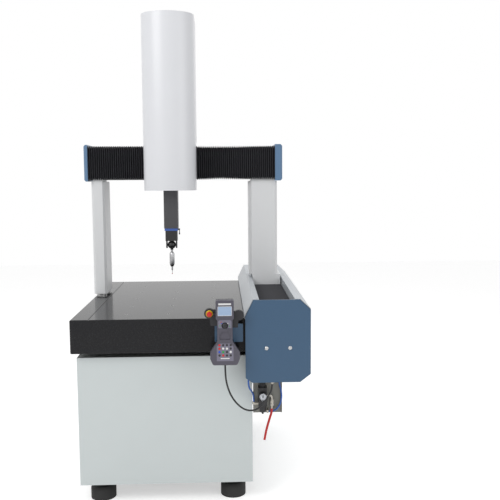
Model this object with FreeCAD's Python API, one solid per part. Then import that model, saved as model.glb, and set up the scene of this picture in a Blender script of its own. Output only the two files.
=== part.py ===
import FreeCAD, Part
import math
import os

V = FreeCAD.Vector
os.makedirs("parts", exist_ok=True)

# ---------------------------------------------------------------------------
# Moving-bridge coordinate measuring machine, millimetres.
# +X is right, +Y is to the rear, +Z is up.  The origin is on the floor, in the
# middle of the machine's length and width.
# ---------------------------------------------------------------------------

# granite table
table_left = -528.0
table_width = 850.0
table_front = -562.0
table_depth = 1212.0
table_top = 888.0
table_thickness = 157.0
table_edge_chamfer = 4.0
groove_from_left = 82.0
groove_width = 6.0
groove_depth = 2.0
insert_columns = 3
insert_rows = 5
insert_column_pitch = 200.0
insert_row_pitch = 217.0
insert_radius = 8.0
insert_length = 25.0
insert_bore_radius = 4.25
insert_first_from_front = 130.0
insert_first_from_left = 240.0

# stand
stand_inset_side = 20.0
stand_inset_front = 40.0
panel_bottom = 93.0
panel_top = 704.0
panel_sheet = 1.5
panel_return = 22.0
panel_gap = 1.0
frame_tube = 80.0
frame_cross_tube = 60.0
foot_radius = 60.0
foot_height = 78.0
foot_inset = 92.0
foot_stud_radius = 10.0
support_radius = 38.0
support_front_spread = 520.0
support_from_end = 250.0

# guide cover along the right side of the table
cover_overlap = 56.0
cover_width = 300.0
cover_rise = 93.0
cover_drop = 291.0
cover_overhang = 52.0
cover_sheet = 2.0
cover_flange = 28.0
cover_right_flange = 25.0
cover_lip = 63.0
left_bevel = (37.0, 75.0)
right_bevel = (48.0, 46.0)
low_right_bevel = (48.0, 37.0)
low_left_bevel = (31.0, 22.0)
end_plate_thickness = 8.0
screw_head_radius = 9.0
screw_shank_radius = 4.0
screw_spacing = 107.0
screw_height = 758.0

# guide beam of the bridge, with the drive bar
guide_from_table = 32.0
guide_width = 126.0
guide_height = 190.0
guide_below_table = 20.0
guide_wall = 14.0
guide_foot_length = 120.0
guide_foot_height = 80.0
guide_feet = 3
bar_thickness = 6.0
bar_height = 30.0
bar_from_guide = 65.0

# fits
bearing_gap = 0.1
running_gap = 0.05
seat_gap = 0.3
bond_gap = 0.05

# bridge
leg_front = 109.0
leg_depth = 183.0
leg_sheet_bevel = 11.0
left_leg_left = -534.0
left_leg_width = 70.0
right_leg_left = 317.0
right_leg_width = 154.0
right_leg_neck = 152.0
right_leg_neck_top = 1000.0
pad_thickness = 12.0
pad_radius = 28.0
side_pad_radius = 22.0
side_pad_thickness = 8.0
saddle_length = 166.0
saddle_plate = 32.0
saddle_cheek = 12.0
saddle_cheek_height = 90.0

# cross beam, inside its bellows
beam_left = -566.0
beam_length = 1063.0
beam_front = 104.0
beam_depth = 158.0
beam_bottom = 1535.0
beam_height = 149.0
beam_wall = 12.0
cap_left_width = 20.0
cap_right_width = 39.0
cap_proud = 7.0
cap_bevel = 9.0
cap_wall = 3.0
pleat_depth = 16.0
pleat_thickness = 3.0
x_pleat_pitch = 20.0
y_pleat_pitch = 22.0
y_bellows_below_cover = 39.0

# drives: motors with a friction roller
roller_radius = 12.0
roller_width = 20.0
motor_radius = 23.0
motor_length = 62.0
motor_shaft_radius = 4.0
motor_shaft_reach = 26.0
shelf_thickness = 10.0

# carriage and Z column
carriage_middle = -100.0
carriage_width = 160.0
carriage_gap = 6.0
carriage_wall = 24.0
spine_thickness = 36.0
spine_bottom = 1480.0
spine_top = 1850.0
collar_height = 60.0
collar_wall = 22.0
column_width = 269.0
column_front = -132.0
column_bow = 104.0
column_back = 168.0
column_low_back = 84.0
column_bottom = 1464.0
column_top = 2355.0
column_sheet = 3.0
column_gap = 18.0
mouth_size = 100.0
cylinder_radius = 16.0
cylinder_wall = 3.0
cylinder_length = 330.0
cylinder_from_middle = 60.0
cylinder_y = 80.0

# ram and probe head
ram_size = 74.0
ram_y = 20.0
ram_wall = 8.0
ram_bottom = 1264.0
ram_length = 766.0
ram_corner = 5.0
ring_height = 13.0
head_width = 63.0
head_top_gap = 0.5
head_height = 54.0
knuckle_radius = 29.0
knuckle_drop = 22.0
probe_radius = 13.0
probe_drop = 27.0
probe_length = 91.0
stylus_reach = 40.0
stylus_pivot_rise = 6.0
stylus_neck_radius = 1.2
stylus_ball_radius = 2.5
stylus_holder_radius = 4.5
stylus_tilt_gap = 2.0

# pendant control box
pendant_from_cover = 90.0
pendant_top = 990.0
pendant_height = 291.0
pendant_from_table = 112.0
pendant_depth = 46.0
pendant_front_depth = 24.0
pendant_wall = 3.0
pendant_head_half = 40.0
pendant_head_height = 83.0
pendant_neck_half = 34.0
pendant_flare_half = 66.0
pendant_flare_top = 192.0
pendant_flare_low = 235.0
pendant_flare_end = 262.0
pendant_foot_half = 54.0
lobe_radius = 23.0
left_lobe = (-68.0, 63.0)
right_lobe = (62.0, 72.0)
lobe_tail = 55.0
screen_size = (60.0, 42.0)
screen_drop = 27.0
stick_panel_size = (58.0, 36.0)
stick_panel_drop = 88.0
keypad_size = (74.0, 79.0)
keypad_drop = 193.0
keypad_bevel = 12.0
membrane = 1.2
neck_pocket = (48.0, 36.0)
neck_pocket_drop = 140.0
neck_pocket_depth = 4.0
stick_drop = 113.0
stick_pivot_depth = 10.0
stick_skirt_radius = 15.0
stick_skirt_wall = 2.0
stick_tip_reach = 32.0
gimbal_pin_radius = 1.5
gimbal_cube = 7.0
gimbal_reach = 11.5
gimbal_post = 6.4
estop_radius = 12.0
estop_stem = 7.0
estop_travel = 4.0
estop_collar_radius = 15.5
estop_collar_height = 6.0
dial_radius = 5.5
dial_height = 13.0
hook_width = 32.0
hook_sheet = 3.0
hook_rise = 22.0
hook_drop = 99.0
bracket_size = (128.0, 83.0)
bracket_from_cover = 8.0
bracket_low = 788.0
bracket_from_table = 44.0
standoff_radius = 8.0
pendant_cable_diameter = 8.0

# air unit under the guide cover
air_panel_drop = 171.0
air_panel_from_cover = 40.0
air_panel_width = 135.0
air_panel_behind_table = 50.0
air_panel_sheet = 2.0
air_panel_flange = 32.0
air_panel_rib = 12.0
block_from_panel = 43.0
block_width = 40.0
block_depth = 48.0
block_drop = 127.0
block_height = 88.0
air_knob_radius = 14.0
air_knob_height = 27.0
bowl_radius = 15.0
bowl_height = 42.0
gauge_rise = 49.0
gauge_radius = 20.0
gauge_depth = 18.0
gauge_rim = 2.5
coupler_from_panel = 85.0
coupler_proud = 33.0
coupler_radius = 10.0
red_hose_diameter = 11.0
blue_hose_diameter = 8.0

# ---------------------------------------------------------------------------
# Worked-out values
# ---------------------------------------------------------------------------
table_right = table_left + table_width
table_back = table_front + table_depth
table_bottom = table_top - table_thickness
stand_left = table_left + stand_inset_side
stand_right = table_right - stand_inset_side
stand_front = table_front + stand_inset_front
stand_back = table_back - stand_inset_front
cover_left_x = table_right - cover_overlap
cover_right_x = cover_left_x + cover_width
cover_top = table_top + cover_rise
cover_bottom = table_top - cover_drop
cover_front = table_front - cover_overhang
cover_back = table_back + cover_overhang
plate_front_in = cover_front + end_plate_thickness
plate_back_in = cover_back - end_plate_thickness
guide_left = table_right + guide_from_table
guide_right = guide_left + guide_width
guide_top = table_top - guide_below_table
guide_bottom = guide_top - guide_height
bar_left = guide_right + bar_from_guide
slot_left = cover_left_x + left_bevel[0] + cover_flange
slot_right = cover_right_x - right_bevel[0] - cover_right_flange
leg_back = leg_front + leg_depth
beam_right = beam_left + beam_length
beam_top = beam_bottom + beam_height
beam_back = beam_front + beam_depth
saddle_bottom = guide_top + pad_thickness
saddle_top = saddle_bottom + saddle_plate
saddle_middle = leg_front + leg_depth / 2
ram_left = carriage_middle - ram_size / 2
ram_front = ram_y - ram_size / 2
ram_back = ram_y + ram_size / 2
knuckle_z = ram_bottom - ring_height - head_height - knuckle_drop
probe_top = knuckle_z - probe_drop
probe_bottom = probe_top - probe_length
stylus_tip = probe_bottom - stylus_reach
pendant_x = cover_left_x - pendant_from_cover
pendant_face = table_front - pendant_from_table
bracket_right = cover_left_x - bracket_from_cover
bracket_face = table_front - bracket_from_table
air_panel_bottom = cover_bottom - air_panel_drop
air_panel_left = cover_left_x + air_panel_from_cover
air_panel_face = table_front + air_panel_behind_table
block_middle = air_panel_left + block_from_panel
block_bottom = cover_bottom - block_drop
gauge_height = block_bottom + gauge_rise
coupler_x = air_panel_left + coupler_from_panel
coupler_y = air_panel_face - coupler_proud


# ---------------------------------------------------------------------------
# Cord routes: points chosen by hand, counted from the place where the guide
# cover's lower left edge passes the front of the table
# ---------------------------------------------------------------------------
route_start = V(cover_left_x, table_front, cover_bottom)
pendant_cable_path = [
    (-90, -78, 93), (-90, -78, 53), (-84, -80, 5), (-66, -83, -46), (-35, -84, -89),
    (3, -80, -117), (47, -70, -120), (82, -54, -98), (106, -38, -65), (124, -26, -37),
    (124, -26, -11)]
red_hose_path = [
    (125, 17, -141), (125, 17, -159), (116, 16, -185), (106, 17, -219), (96.5, 15, -255),
    (90.5, 16, -291)]
blue_left_path = [
    (15, -32, 15), (15, -32, -5), (19, -22, -30), (28, -1, -49), (38, 19, -68), (42, 29, -91),
    (42, 29, -111)]
blue_right_path = [
    (161, 31, -10), (161, 31, -27), (168, 30, -52), (172.5, 31, -79), (171, 32, -107),
    (162, 31, -134), (144, 30, -154), (125, 31, -159), (110, 31, -159)]


# ---------------------------------------------------------------------------
# Small shape tools
# ---------------------------------------------------------------------------
def block(x0, x1, y0, y1, z0, z1):
    """A box between two corners."""
    return Part.makeBox(x1 - x0, y1 - y0, z1 - z0, V(x0, y0, z0))


def rod(radius, base, axis, length):
    """A round bar from a base point along an axis."""
    return Part.makeCylinder(radius, length, V(*base), V(*axis))


def prism(points, direction):
    """A closed outline carried along a direction."""
    corners = [V(*p) for p in points]
    face = Part.Face(Part.makePolygon(corners + corners[:1]))
    return face.extrude(V(*direction))


def lathe(profile, centre, axis):
    """A (radius, height) outline turned about an axis through the centre."""
    turned = prism_face([(r, 0, h) for r, h in profile]).revolve(V(0, 0, 0), V(0, 0, 1), 360)
    turned.Placement = FreeCAD.Placement(V(*centre), FreeCAD.Rotation(V(0, 0, 1), V(*axis)))
    return turned


def prism_face(points):
    """A flat face with straight edges through the points."""
    corners = [V(*p) for p in points]
    return Part.Face(Part.makePolygon(corners + corners[:1]))


def folded_sheet(path, sheet):
    """The section of a sheet folded along a path of (x, z) points.

    The sheet's thickness lies to the right of the path, with mitred folds.
    """
    inner = []
    for i, (x, z) in enumerate(path):
        normals = []
        for a, b in ((i - 1, i), (i, i + 1)):
            if a >= 0 and b < len(path):
                dx = path[b][0] - path[a][0]
                dz = path[b][1] - path[a][1]
                size = math.hypot(dx, dz)
                normals.append((dz / size, -dx / size))
        mx = sum(n[0] for n in normals) / len(normals)
        mz = sum(n[1] for n in normals) / len(normals)
        stretch = sheet / (mx * mx + mz * mz)
        inner.append((x + mx * stretch, z + mz * stretch))
    return path + inner[::-1]


def along_y(outline, y0, y1):
    """An (x, z) outline carried from y0 to y1."""
    return prism([(x, y0, z) for x, z in outline], (0, y1 - y0, 0))


def along_x(outline, x0, x1):
    """A (y, z) outline carried from x0 to x1."""
    return prism([(x0, y, z) for y, z in outline], (x1 - x0, 0, 0))


def along_z(outline, z0, z1):
    """An (x, y) outline carried from z0 to z1."""
    return prism([(x, y, z0) for x, y in outline], (0, 0, z1 - z0))


def rounded(shape, radius, test):
    """The shape with the edges that pass the test rounded."""
    edges = [e for e in shape.Edges if test(e)]
    return shape.makeFillet(radius, edges)


def runs_along(axis):
    """A test for straight edges along one axis."""
    def test(edge):
        if len(edge.Vertexes) != 2 or not isinstance(edge.Curve, Part.Line):
            return False
        step = edge.Vertexes[1].Point - edge.Vertexes[0].Point
        return abs(abs(step.dot(V(*axis))) - step.Length) < 1e-6
    return test


def save(name, *solids):
    """Writes one piece, or a group of like pieces, as a STEP file."""
    shape = solids[0] if len(solids) == 1 else Part.makeCompound(list(solids))
    shape.exportStep("parts/" + name + ".step")


# ---------------------------------------------------------------------------
# Stand: welded square-tube frame, skirt panels, feet and table supports
# ---------------------------------------------------------------------------
def make_stand():
    margin = panel_sheet + panel_gap
    left, right = stand_left + margin, stand_right - margin
    front, back = stand_front + margin, stand_back - margin
    low, high = foot_height + 20, panel_top - 2
    frame = None
    for x in (left, right - frame_tube):
        for y in (front, back - frame_tube):
            post = block(x, x + frame_tube, y, y + frame_tube, low, high)
            frame = post if frame is None else frame.fuse(post)
    for z in (low + 20, high - frame_tube):
        for x in (left, right - frame_tube):
            frame = frame.fuse(block(x, x + frame_tube, front, back, z, z + frame_tube))
        for y in (front, back - frame_tube):
            frame = frame.fuse(block(left, right, y, y + frame_tube, z, z + frame_tube))
    for y in (table_front + support_from_end, table_back - support_from_end):
        rail = block(left, right, y - frame_cross_tube / 2, y + frame_cross_tube / 2,
                     high - frame_tube, high)
        frame = frame.fuse(rail)
    frame = frame.removeSplitter()
    save("stand_frame", frame)

    panels = []
    for y, inward in ((stand_front, 1), (stand_back, -1)):
        path = [(stand_left + panel_return, y + inward * panel_return),
                (stand_left, y + inward * panel_return)]
        low_y, high_y = sorted((y, y + inward * panel_sheet))
        sheet = block(stand_left, stand_right, low_y, high_y, panel_bottom, panel_top)
        panels.append(sheet)
    for x, inward in ((stand_left, 1), (stand_right, -1)):
        low_x, high_x = sorted((x, x + inward * panel_sheet))
        sheet = block(low_x, high_x, stand_front + panel_sheet + panel_gap / 2,
                      stand_back - panel_sheet - panel_gap / 2, panel_bottom, panel_top)
        panels.append(sheet)
    save("skirt_panels", *panels)

    feet = []
    profile = [(0, 0), (foot_radius, 0), (foot_radius, foot_height * 0.62),
               (foot_radius * 0.86, foot_height * 0.8), (foot_radius * 0.42, foot_height * 0.86),
               (foot_radius * 0.42, foot_height * 0.95), (foot_stud_radius, foot_height * 0.95),
               (foot_stud_radius, low), (0, low)]
    for x in (stand_left + foot_inset, stand_right - foot_inset):
        for y in (stand_front + foot_inset, stand_back - foot_inset):
            feet.append(lathe(profile, (x, y, 0), (0, 0, 1)))
    save("levelling_feet", *feet)

    middle = (table_left + table_right) / 2
    spots = [(middle - support_front_spread / 2, table_front + support_from_end),
             (middle + support_front_spread / 2, table_front + support_from_end),
             (middle, table_back - support_from_end)]
    rise = table_bottom - high
    profile = [(0, 0), (support_radius, 0), (support_radius, rise * 0.55),
               (support_radius * 0.6, rise * 0.7), (support_radius * 0.6, rise), (0, rise)]
    save("table_supports", *[lathe(profile, (x, y, high), (0, 0, 1)) for x, y in spots])


# ---------------------------------------------------------------------------
# Granite table with its threaded inserts
# ---------------------------------------------------------------------------
def insert_places():
    for row in range(insert_rows):
        for column in range(insert_columns):
            yield (table_left + insert_first_from_left + column * insert_column_pitch,
                   table_front + insert_first_from_front + row * insert_row_pitch)


def make_table():
    slab = block(table_left, table_right, table_front, table_back, table_bottom, table_top)
    slab = slab.makeChamfer(table_edge_chamfer, slab.Edges)
    groove_x = table_left + groove_from_left
    slab = slab.cut(block(groove_x, groove_x + groove_width, table_front, table_back,
                          table_top - groove_depth, table_top))
    inserts = []
    for x, y in insert_places():
        slab = slab.cut(rod(insert_radius, (x, y, table_top - insert_length), (0, 0, 1), insert_length))
        bush = rod(insert_radius - bond_gap, (x, y, table_top - insert_length), (0, 0, 1),
                   insert_length - bond_gap)
        bush = bush.cut(rod(insert_bore_radius, (x, y, table_top - insert_length), (0, 0, 1),
                            insert_length))
        inserts.append(bush)
    save("granite_table", slab)
    save("table_inserts", *inserts)


# ---------------------------------------------------------------------------
# Bridge guide: beam bolted to the table's right side, drive bar and covers
# ---------------------------------------------------------------------------
def plate_outline(inset):
    """The eight-cornered outline of the guide cover, drawn in by an inset."""
    x0, x1 = cover_left_x + inset, cover_right_x - inset
    z0, z1 = cover_bottom + inset, cover_top - inset
    return [(x0, z1 - left_bevel[1]), (x0 + left_bevel[0], z1),
            (x1 - right_bevel[0], z1), (x1, z1 - right_bevel[1]),
            (x1, z0 + low_right_bevel[1]), (x1 - low_right_bevel[0], z0),
            (x0 + low_left_bevel[0], z0), (x0, z0 + low_left_bevel[1])]


def make_guide():
    front, back = plate_front_in, plate_back_in
    beam = block(guide_left, guide_right, front, back, guide_bottom, guide_top)
    hollow = block(guide_left + guide_wall, guide_right - guide_wall, front, back,
                   guide_bottom + guide_wall, guide_top - guide_wall)
    beam = beam.cut(hollow)
    foot_low = guide_bottom + guide_wall
    for i in range(guide_feet):
        y = table_front + table_depth * (i + 0.5) / guide_feet - guide_foot_length / 2
        beam = beam.fuse(block(table_right, guide_left, y, y + guide_foot_length,
                               foot_low, foot_low + guide_foot_height))
    save("y_guide_beam", beam.removeSplitter())

    bar_z = (guide_top + guide_bottom) / 2 + bar_height
    save("y_drive_bar", block(bar_left, bar_left + bar_thickness, front, back,
                              bar_z, bar_z + bar_height))

    left_path = [(cover_left_x + cover_flange, table_top + cover_sheet + running_gap),
                 (cover_left_x, table_top + cover_sheet + running_gap),
                 (cover_left_x, cover_top - left_bevel[1]),
                 (cover_left_x + left_bevel[0], cover_top),
                 (slot_left, cover_top),
                 (slot_left, cover_top - cover_lip)]
    left_section = folded_sheet(left_path, cover_sheet)
    save("cover_left", along_y(left_section, plate_front_in, plate_back_in))

    right_path = [(slot_right, cover_top - cover_lip),
                  (slot_right, cover_top),
                  (cover_right_x - right_bevel[0], cover_top),
                  (cover_right_x, cover_top - right_bevel[1]),
                  (cover_right_x, cover_bottom + low_right_bevel[1]),
                  (cover_right_x - low_right_bevel[0], cover_bottom),
                  (table_right, cover_bottom)]
    right_section = folded_sheet(right_path, cover_sheet)
    save("cover_right", along_y(right_section, plate_front_in, plate_back_in))

    inset = cover_sheet + seat_gap
    outline = plate_outline(inset)
    screws = []
    for name, y0, side in (("end_plate_front", cover_front, -1),
                           ("end_plate_rear", plate_back_in, 1)):
        plate = along_y(outline, y0, y0 + end_plate_thickness)
        screw_middle = (guide_left + guide_right) / 2
        for sign in (-1, 1):
            x = screw_middle + sign * screw_spacing / 2
            plate = plate.cut(rod(screw_shank_radius + running_gap, (x, y0, screw_height),
                                  (0, 1, 0), end_plate_thickness))
            outer = y0 if side < 0 else y0 + end_plate_thickness
            profile = [(0, -end_plate_thickness), (screw_shank_radius, -end_plate_thickness),
                       (screw_shank_radius, 0), (screw_head_radius, 0),
                       (screw_head_radius, 1.5), (screw_head_radius * 0.7, 4.2),
                       (screw_head_radius * 0.35, 5.2), (0, 5.4)]
            screws.append(lathe(profile, (x, outer, screw_height), (0, side, 0)))
        save(name, plate)
    save("cover_screws", *screws)


# ---------------------------------------------------------------------------
# Bellows: pleated bands, as closed solids
# ---------------------------------------------------------------------------
def pleats(start, end, pitch, high, low):
    """The zigzag top edge of a bellows, as (position, height) points."""
    count = max(2, round((end - start) / pitch))
    step = (end - start) / count
    points = []
    for i in range(count):
        points.append((start + i * step, low))
        points.append((start + (i + 0.5) * step, high))
    points.append((end, low))
    return points


def make_y_bellows():
    x0, x1 = slot_left + cover_sheet, slot_right - cover_sheet
    top = cover_top - y_bellows_below_cover
    for name, y0, y1 in (("y_bellows_front", plate_front_in, leg_front),
                         ("y_bellows_rear", leg_back, plate_back_in)):
        y0, y1 = y0 + seat_gap, y1 - seat_gap
        crest = pleats(y0, y1, y_pleat_pitch, top, top - pleat_depth * 0.6)
        outline = crest + [(y1, top - pleat_depth), (y0, top - pleat_depth)]
        save(name, along_x(outline, x0, x1))


def beam_band(x0, x1, rise):
    """A three-sided band round the beam's front, top and back."""
    front, back = beam_front - rise, beam_back + rise
    bottom = beam_bottom - rise
    clear = pleat_thickness / 4
    outer = block(x0, x1, front, back, bottom, beam_top + rise)
    inner = block(x0, x1, beam_front - clear, beam_back + clear, bottom - 1, beam_top + clear)
    return outer.cut(inner)


def make_x_bellows():
    half = carriage_width / 2
    spans = (("x_bellows_left", beam_left + cap_left_width, carriage_middle - half),
             ("x_bellows_right", carriage_middle + half, beam_right - cap_right_width))
    for name, x0, x1 in spans:
        x0, x1 = x0 + seat_gap, x1 - seat_gap
        pieces = []
        clear = pleat_thickness / 4
        bottom = beam_bottom - pleat_depth
        for sign, near in ((-1, beam_front - clear), (1, beam_back + clear)):
            high = near + sign * (pleat_depth - clear)
            crest = pleats(x0, x1, x_pleat_pitch, high, near + sign * pleat_depth * 0.45)
            outline = crest + [(x1, near), (x0, near)]
            pieces.append(along_z(outline, bottom, beam_top + clear))
        crest = pleats(x0, x1, x_pleat_pitch, beam_top + pleat_depth, beam_top + pleat_depth * 0.45)
        outline = crest + [(x1, beam_top + clear), (x0, beam_top + clear)]
        top = prism([(x, beam_front - clear - pleat_depth * 0.45, z) for x, z in outline],
                    (0, beam_depth + 2 * clear + pleat_depth * 0.9, 0))
        band = pieces[0].fuse(pieces[1]).fuse(top)
        save(name, band.removeSplitter())


# ---------------------------------------------------------------------------
# Bridge: saddle and legs, cross beam, end caps
# ---------------------------------------------------------------------------
def disc_pad(centre, axis, radius, thickness):
    """A round air-bearing pad with a bevelled back."""
    profile = [(0, 0), (radius, 0), (radius, thickness * 0.6), (radius * 0.85, thickness),
               (0, thickness)]
    return lathe(profile, centre, axis)


def make_bridge():
    y0 = saddle_middle - saddle_length / 2
    y1 = saddle_middle + saddle_length / 2
    inner_left = guide_left - side_pad_thickness
    inner_right = guide_right + side_pad_thickness
    outer_left, outer_right = inner_left - saddle_cheek, inner_right + saddle_cheek
    cheek_bottom = saddle_top - saddle_plate - saddle_cheek_height
    saddle = block(outer_left, outer_right, y0, y1, saddle_bottom, saddle_top)
    for x in (outer_left, inner_right):
        saddle = saddle.fuse(block(x, x + saddle_cheek, y0, y1, cheek_bottom, saddle_bottom))
    motor_x = bar_left - running_gap - roller_radius
    shelf = block(outer_right, motor_x + motor_radius, saddle_middle - motor_radius,
                  saddle_middle + motor_radius, saddle_top - shelf_thickness, saddle_top)
    saddle = saddle.fuse(shelf)
    hole = rod(motor_shaft_radius + 2, (motor_x, saddle_middle, saddle_bottom), (0, 0, 1), saddle_plate)
    saddle = saddle.cut(hole)
    save("bridge_saddle", saddle.removeSplitter())

    pads = []
    spread = saddle_length / 2 - pad_radius
    for sign in (-1, 1):
        y = saddle_middle + sign * spread
        middle = (guide_left + guide_right) / 2
        pads.append(disc_pad((middle, y, guide_top + bearing_gap), (0, 0, 1), pad_radius,
                             pad_thickness - bearing_gap))
        side_z = guide_top - side_pad_radius - saddle_cheek
        pads.append(disc_pad((guide_left - bearing_gap, y, side_z), (-1, 0, 0), side_pad_radius,
                             side_pad_thickness - bearing_gap))
        pads.append(disc_pad((guide_right + bearing_gap, y, side_z), (1, 0, 0), side_pad_radius,
                             side_pad_thickness - bearing_gap))
    left_middle = left_leg_left + left_leg_width / 2
    for sign in (-1, 1):
        y = saddle_middle + sign * spread
        pads.append(disc_pad((left_middle, y, table_top + bearing_gap), (0, 0, 1),
                             min(pad_radius, left_leg_width / 2 - 5), pad_thickness - bearing_gap))
    save("bridge_air_pads", *pads)

    # left leg: a closed box column with bevelled front edges
    x0, x1 = left_leg_left, left_leg_left + left_leg_width
    leg_bottom = table_top + pad_thickness
    shoulder = beam_bottom - pleat_depth - cap_proud - 4 * seat_gap
    b = leg_sheet_bevel
    outline = [(x0, leg_front + b), (x0 + b, leg_front), (x1 - b, leg_front), (x1, leg_front + b),
               (x1, leg_back), (x0, leg_back)]
    leg = along_z(outline, leg_bottom, shoulder)
    head = block(x0 + b, x1 - b, leg_front, beam_back, shoulder, beam_bottom)
    save("left_leg", leg.fuse(head).removeSplitter())

    # right leg: wider column that necks down to pass between the guide covers
    x0, x1 = right_leg_left, right_leg_left + right_leg_width
    outline = [(x0, leg_front + 2.2 * b), (x0 + 1.2 * b, leg_front), (x1 - 1.2 * b, leg_front),
               (x1, leg_front + 2.2 * b), (x1, leg_back), (x0, leg_back)]
    leg = along_z(outline, right_leg_neck_top, shoulder)
    head = block(x0 + 1.2 * b, x1 - 1.2 * b, leg_front, beam_back, shoulder, beam_bottom)
    neck_left = slot_left + cover_sheet + seat_gap * 4
    neck_right = neck_left + right_leg_neck
    neck = block(neck_left, neck_right, leg_front, leg_back, saddle_top, right_leg_neck_top)
    save("right_leg", leg.fuse(head).fuse(neck).removeSplitter())

    # cross beam: hollow box section
    beam = block(beam_left + cap_wall, beam_right - cap_wall, beam_front, beam_back,
                 beam_bottom, beam_top)
    beam = beam.cut(block(beam_left, beam_right, beam_front + beam_wall, beam_back - beam_wall,
                          beam_bottom + beam_wall, beam_top - beam_wall))
    save("x_beam", beam)

    # end caps: shallow boxes with bevelled edges, slipped over the beam's ends
    rise = pleat_depth + cap_proud
    for name, x_out, x_in in (("cap_left", beam_left, beam_left + cap_left_width),
                              ("cap_right", beam_right, beam_right - cap_right_width)):
        low, high = sorted((x_out, x_in))
        front, back = beam_front - rise, beam_back + rise
        bottom, top = beam_bottom - rise, beam_top + rise
        cap = block(low, high, front, back, bottom, top)
        edges = [e for e in cap.Edges if abs(e.CenterOfMass.x - x_out) < 1e-6]
        cap = cap.makeChamfer(cap_bevel, edges)
        inner_low, inner_high = sorted((x_in, x_out + (cap_wall if x_in > x_out else -cap_wall)))
        pocket = block(inner_low, inner_high, beam_front - seat_gap, beam_back + seat_gap,
                       beam_bottom - seat_gap, beam_top + seat_gap)
        save(name, cap.cut(pocket))


# ---------------------------------------------------------------------------
# Drives: a motor with a friction roller
# ---------------------------------------------------------------------------
def make_drives():
    x = bar_left - running_gap - roller_radius
    bar_z = (guide_top + guide_bottom) / 2 + bar_height
    motor_bottom = saddle_top - shelf_thickness - motor_length
    body = rod(motor_radius, (x, saddle_middle, motor_bottom), (0, 0, 1), motor_length)
    body = body.cut(rod(motor_shaft_radius + running_gap, (x, saddle_middle, motor_bottom),
                        (0, 0, 1), motor_length / 2))
    save("y_motor", body)
    roller = rod(roller_radius, (x, saddle_middle, bar_z), (0, 0, 1), bar_height)
    shaft_top = motor_bottom + motor_length / 2 - seat_gap
    shaft = rod(motor_shaft_radius, (x, saddle_middle, bar_z), (0, 0, 1), shaft_top - bar_z)
    save("y_roller", roller.fuse(shaft).removeSplitter())

    # the cross drive's roller runs on the beam's top face
    top_wall = beam_top + carriage_gap
    z = beam_top + running_gap + roller_radius
    roller_y = (beam_front + beam_back) / 2
    half = roller_width / 2
    roller = rod(roller_radius, (carriage_middle, roller_y - half, z), (0, 1, 0), roller_width)
    shaft = rod(motor_shaft_radius, (carriage_middle, roller_y - half, z), (0, 1, 0),
                roller_width + motor_shaft_reach)
    save("x_roller", roller.fuse(shaft).removeSplitter())
    y0 = roller_y + half + 2
    z_low = top_wall + carriage_wall
    body = block(carriage_middle - motor_radius, carriage_middle + motor_radius,
                 y0, y0 + motor_length, z - motor_shaft_radius * 2, z_low + motor_radius)
    body = body.cut(rod(motor_shaft_radius + running_gap, (carriage_middle, y0, z), (0, 1, 0),
                        motor_shaft_reach))
    save("x_motor", body)


# ---------------------------------------------------------------------------
# Carriage: ring round the beam, spine plate and the ram's two collars
# ---------------------------------------------------------------------------
def make_carriage():
    half = carriage_width / 2
    x0, x1 = carriage_middle - half, carriage_middle + half
    g, w = carriage_gap, carriage_wall
    ring = block(x0, x1, beam_front - g - w, beam_back + g + w,
                 beam_bottom - g - w, beam_top + g + w)
    ring = ring.cut(block(x0, x1, beam_front - g, beam_back + g, beam_bottom - g, beam_top + g))
    spine_back = beam_front - g
    spine_front = ram_back + 5
    spine = block(x0, x1, spine_front, spine_back, spine_bottom, spine_top)
    body = ring.fuse(spine)
    reach = ram_size / 2 + collar_wall
    for z in (spine_bottom, spine_top - collar_height):
        collar = block(carriage_middle - reach, carriage_middle + reach, ram_y - reach, spine_back,
                       z, z + collar_height)
        body = body.fuse(collar)
    gap = bearing_gap
    bore = block(ram_left - gap, ram_left + ram_size + gap, ram_front - gap, ram_back + gap,
                 spine_bottom, spine_top)
    body = body.cut(bore)
    # pocket in the top wall for the drive roller and its motor
    roller_y = (beam_front + beam_back) / 2
    pocket = block(carriage_middle - motor_radius - 1, carriage_middle + motor_radius + 1,
                   roller_y - roller_width / 2 - 2, roller_y + roller_width / 2 + 3 + motor_length,
                   beam_top + g, beam_top + g + w)
    body = body.cut(pocket)
    save("x_carriage", body.removeSplitter())


# ---------------------------------------------------------------------------
# Z column cover: bowed front shell and flat rear shell
# ---------------------------------------------------------------------------
def bowed_face(inset, z, back):
    """The column's plan: straight sides and a half-elliptical front."""
    half = column_width / 2 - inset
    bow = column_bow - inset
    y_side = column_front + column_bow
    centre = V(carriage_middle, y_side, z)
    ellipse = Part.Ellipse(V(carriage_middle + half, y_side, z),
                           V(carriage_middle, y_side - bow, z), centre)
    arc = Part.Arc(ellipse, *sorted((ellipse.parameter(V(carriage_middle - half, y_side, z)),
                                     ellipse.parameter(V(carriage_middle + half, y_side, z)))))
    middle = arc.value((arc.FirstParameter + arc.LastParameter) / 2)
    if middle.y > y_side:
        first = ellipse.parameter(V(carriage_middle - half, y_side, z))
        arc = Part.Arc(ellipse, first, first + math.pi)
    ends = [arc.StartPoint, arc.EndPoint]
    a, b = V(ends[1].x, back, z), V(ends[0].x, back, z)
    edges = [arc.toShape(), Part.makeLine(ends[1], a), Part.makeLine(a, b),
             Part.makeLine(b, ends[0])]
    return Part.Face(Part.Wire(edges))


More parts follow.
